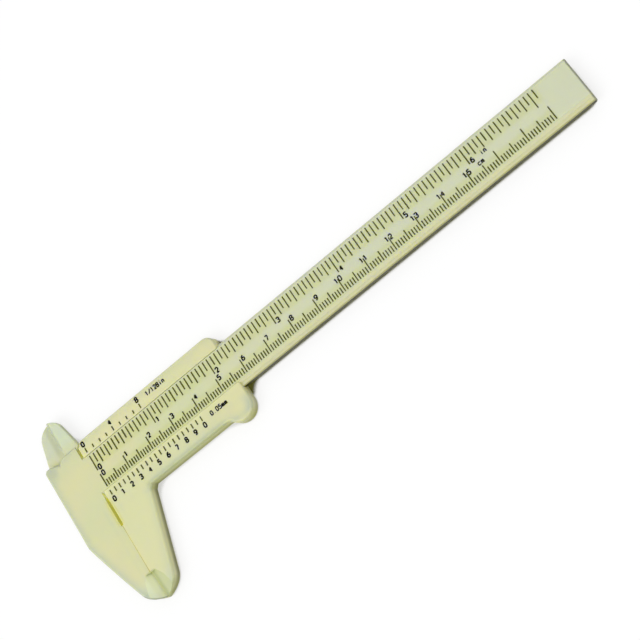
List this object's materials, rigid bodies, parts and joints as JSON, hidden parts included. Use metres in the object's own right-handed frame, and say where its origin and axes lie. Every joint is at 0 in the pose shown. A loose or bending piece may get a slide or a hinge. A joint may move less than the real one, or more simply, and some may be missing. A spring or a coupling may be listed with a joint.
{
  "type": "plastic vernier caliper",
  "caption": "Flat plastic vernier caliper: a graduated beam with a fixed jaw, and a slider with a moving jaw, crossing inside nibs, verniers and a thumb rest.",
  "frame": {"origin": "on the back face, where the plane of the closed jaws crosses the beam's centre line", "axes": "+X along the beam to its free end, +Y across the beam towards the inside nibs, +Z out of the scale face"},
  "size_m": [0.2091, 0.0707, 0.005],
  "materials": {
    "beam_plastic": "pale cream plastic with a faint green tint, moulded, softly satin, a little translucent",
    "slider_plastic": "the same pale cream plastic, moulded, softly satin, a little translucent"
  },
  "bodies": {
    "beam": {"beam_with_fixed_jaw": "beam_plastic"},
    "slider": {"slider_with_moving_jaw": "slider_plastic"}
  },
  "joints": [
    {"name": "jaw_slide", "type": "slide", "parent": "beam", "child": "slider", "axis": [1, 0, 0], "range_m": [0, 0.15]}
  ]
}
